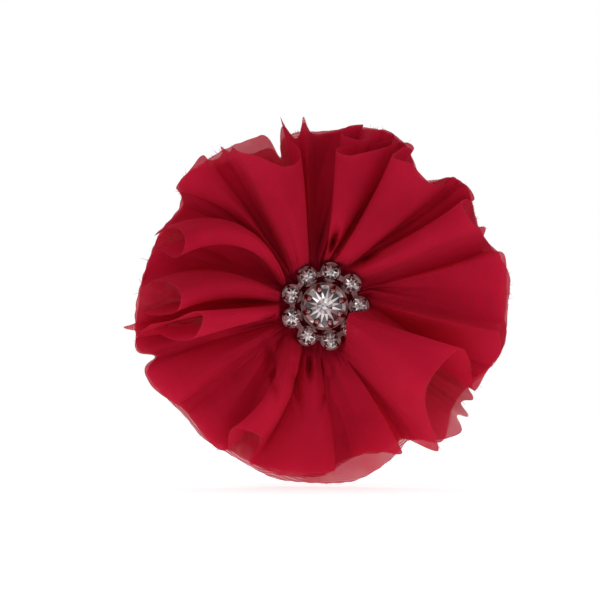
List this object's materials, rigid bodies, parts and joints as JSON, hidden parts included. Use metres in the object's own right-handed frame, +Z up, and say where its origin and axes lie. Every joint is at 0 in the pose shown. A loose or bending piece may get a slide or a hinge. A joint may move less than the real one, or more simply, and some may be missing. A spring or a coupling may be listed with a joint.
{
  "type": "flower hair clip",
  "caption": "Round hair flower of gathered red chiffon ruffles with a stone-set jewel at its centre, glued to a sprung alligator clip that grips the hair.",
  "frame": {"origin": "on the flower's own axis, on the gripping face of the clip's upper arm", "axes": "+Z up the flower, +X to its right seen from the front and towards the clip's mouth, -Y out of the flower's face, so the clip is on the +Y side"},
  "size_m": [0.099, 0.0329, 0.0944],
  "materials": {
    "chiffon": "fine sheer weave",
    "thread": "polyester thread",
    "felt": "felt",
    "glue": "hot-melt glue",
    "silver_plate": "polished",
    "crystal": "faceted",
    "clip_steel": "nickel plated",
    "pin_steel": "nickel plated",
    "spring_steel": "drawn wire"
  },
  "bodies": {
    "flower": {"ruffle_bottom": "chiffon", "ruffle_middle": "chiffon", "ruffle_top": "chiffon", "gathering_thread_bottom": "thread", "gathering_thread_middle": "thread", "gathering_thread_top": "thread", "felt_backing": "felt", "felt_keeper": "felt", "glue_core": "glue", "glue_pad": "glue", "jewel_base_plate": "silver_plate", "centre_cup": "silver_plate", "centre_stone": "crystal", "ring_cup_1": "silver_plate", "ring_link_1": "silver_plate", "ring_stone_1": "crystal", "ring_cup_2": "silver_plate", "ring_link_2": "silver_plate", "ring_stone_2": "crystal", "ring_cup_3": "silver_plate", "ring_link_3": "silver_plate", "ring_stone_3": "crystal", "ring_cup_4": "silver_plate", "ring_link_4": "silver_plate", "ring_stone_4": "crystal", "ring_cup_5": "silver_plate", "ring_link_5": "silver_plate", "ring_stone_5": "crystal", "ring_cup_6": "silver_plate", "ring_link_6": "silver_plate", "ring_stone_6": "crystal", "ring_cup_7": "silver_plate", "ring_link_7": "silver_plate", "ring_stone_7": "crystal", "ring_cup_8": "silver_plate", "ring_link_8": "silver_plate", "ring_stone_8": "crystal", "ring_cup_9": "silver_plate", "ring_link_9": "silver_plate", "ring_stone_9": "crystal", "clip_upper_arm": "clip_steel", "hinge_pin": "pin_steel", "torsion_spring": "spring_steel"},
    "lower_jaw": {"clip_lower_jaw": "clip_steel"}
  },
  "joints": [
    {"name": "jaw_hinge", "type": "hinge", "parent": "flower", "child": "lower_jaw", "pos_m": [-0.008, 0.0028, 0], "axis": [0, 0, 1], "range_deg": [0, 28], "stiffness_Nm_per_rad": 0.08, "springref_deg": -71.62, "deforming": ["torsion_spring"]}
  ]
}
